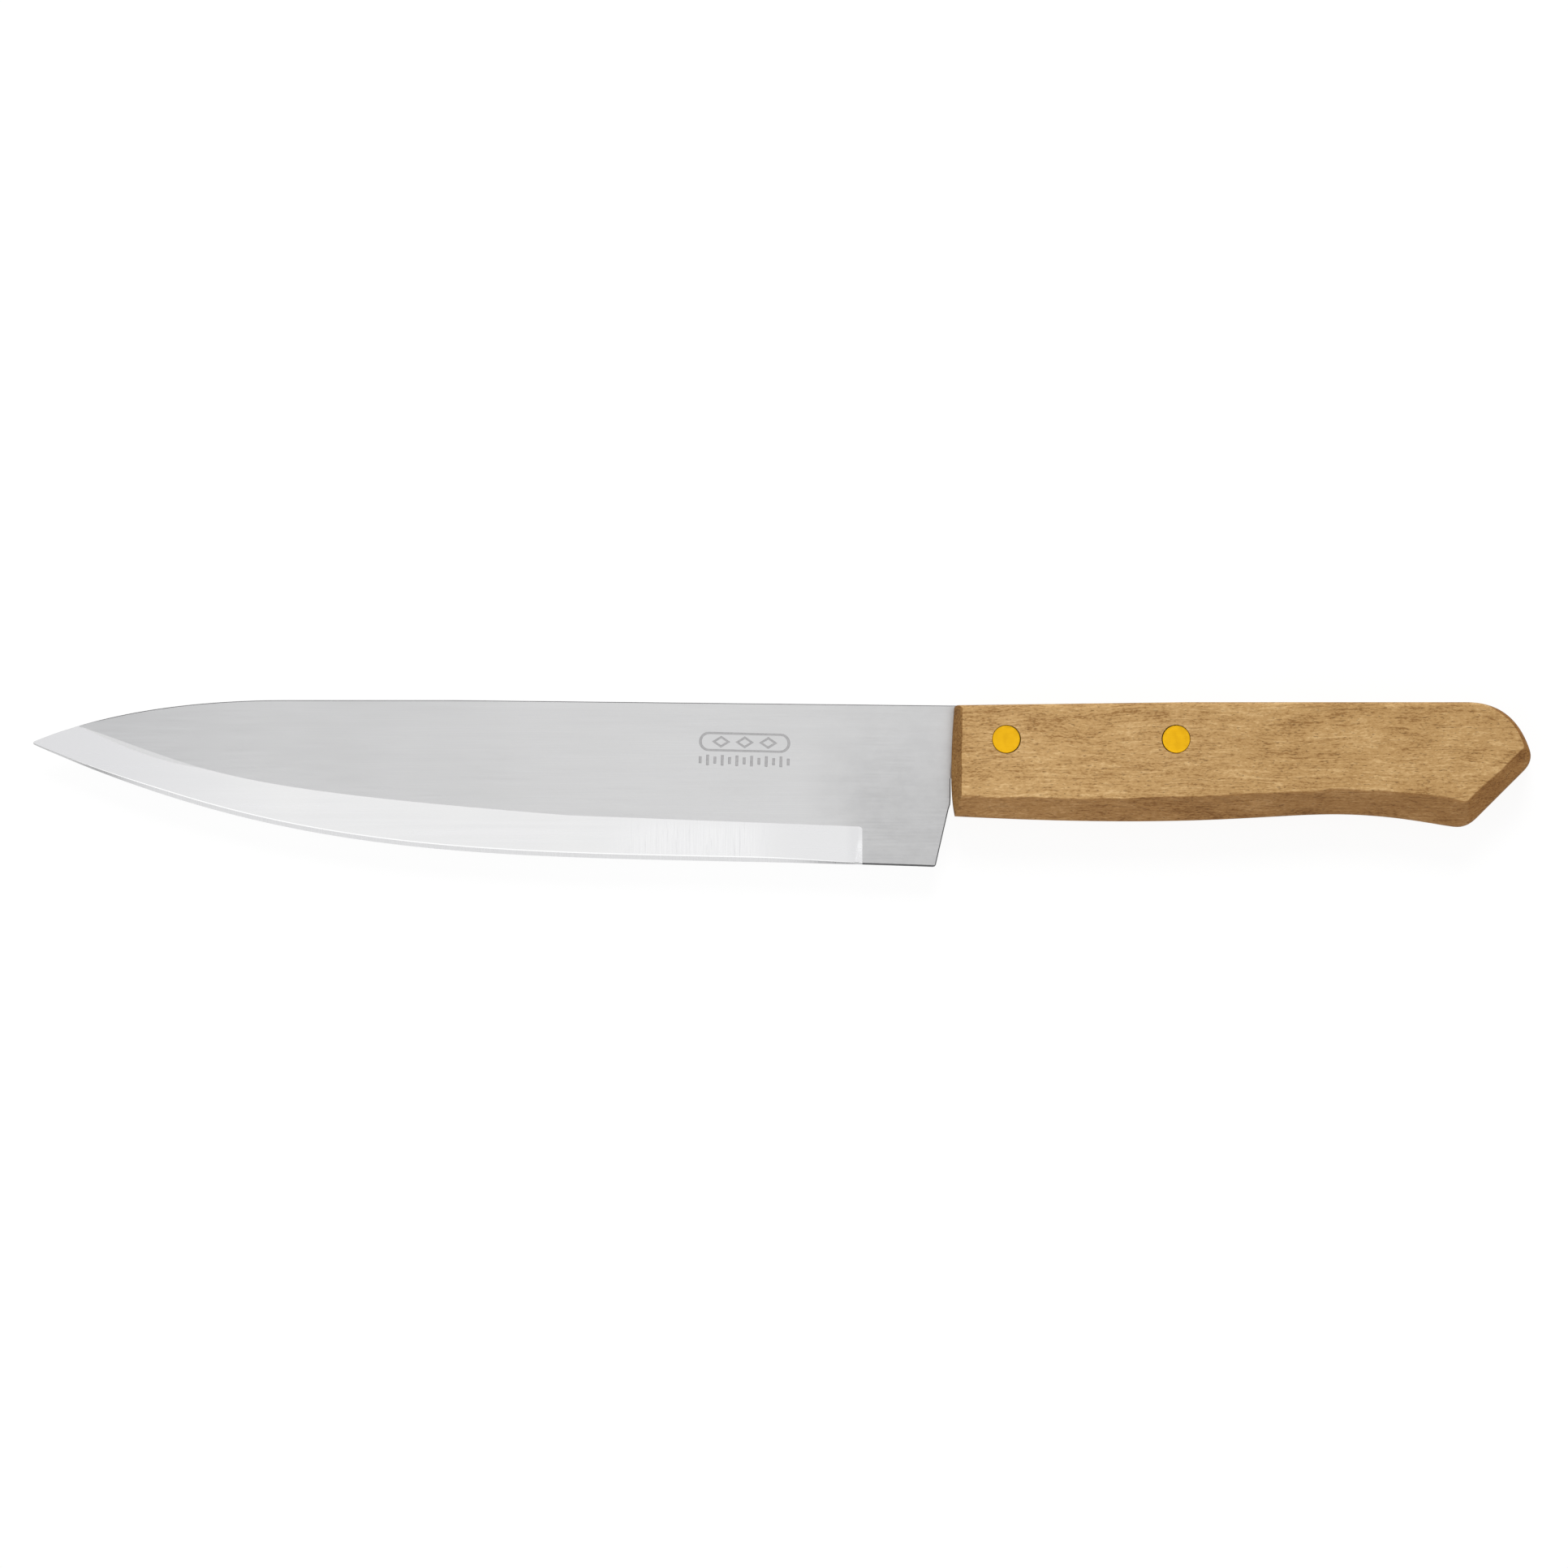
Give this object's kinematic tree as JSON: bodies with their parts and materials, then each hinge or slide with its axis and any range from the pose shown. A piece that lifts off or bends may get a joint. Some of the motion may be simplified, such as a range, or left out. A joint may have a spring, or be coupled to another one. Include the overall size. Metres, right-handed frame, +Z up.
{
  "type": "chef knife",
  "caption": "Chef knife with a ground steel blade, a half tang riveted into a one-piece slotted wooden handle, lying on its side.",
  "frame": {"origin": "under the middle of the knife's bounding box, on the surface that the handle lies on", "axes": "+X from the tip to the butt, +Y from the cutting edge to the spine, +Z up through the thickness"},
  "size_m": [0.3304, 0.0368, 0.018],
  "materials": {
    "blade_steel": "satin rolled face, finely ground bright bevel",
    "handle_wood": "stained, sanded, open-pored hardwood with a dull oil finish",
    "rivet_brass": "smooth, flush ground"
  },
  "bodies": {
    "root": {"blade": "blade_steel", "handle": "handle_wood", "front_rivet_male": "rivet_brass", "front_rivet_female": "rivet_brass", "rear_rivet_male": "rivet_brass", "rear_rivet_female": "rivet_brass"}
  },
  "joints": []
}
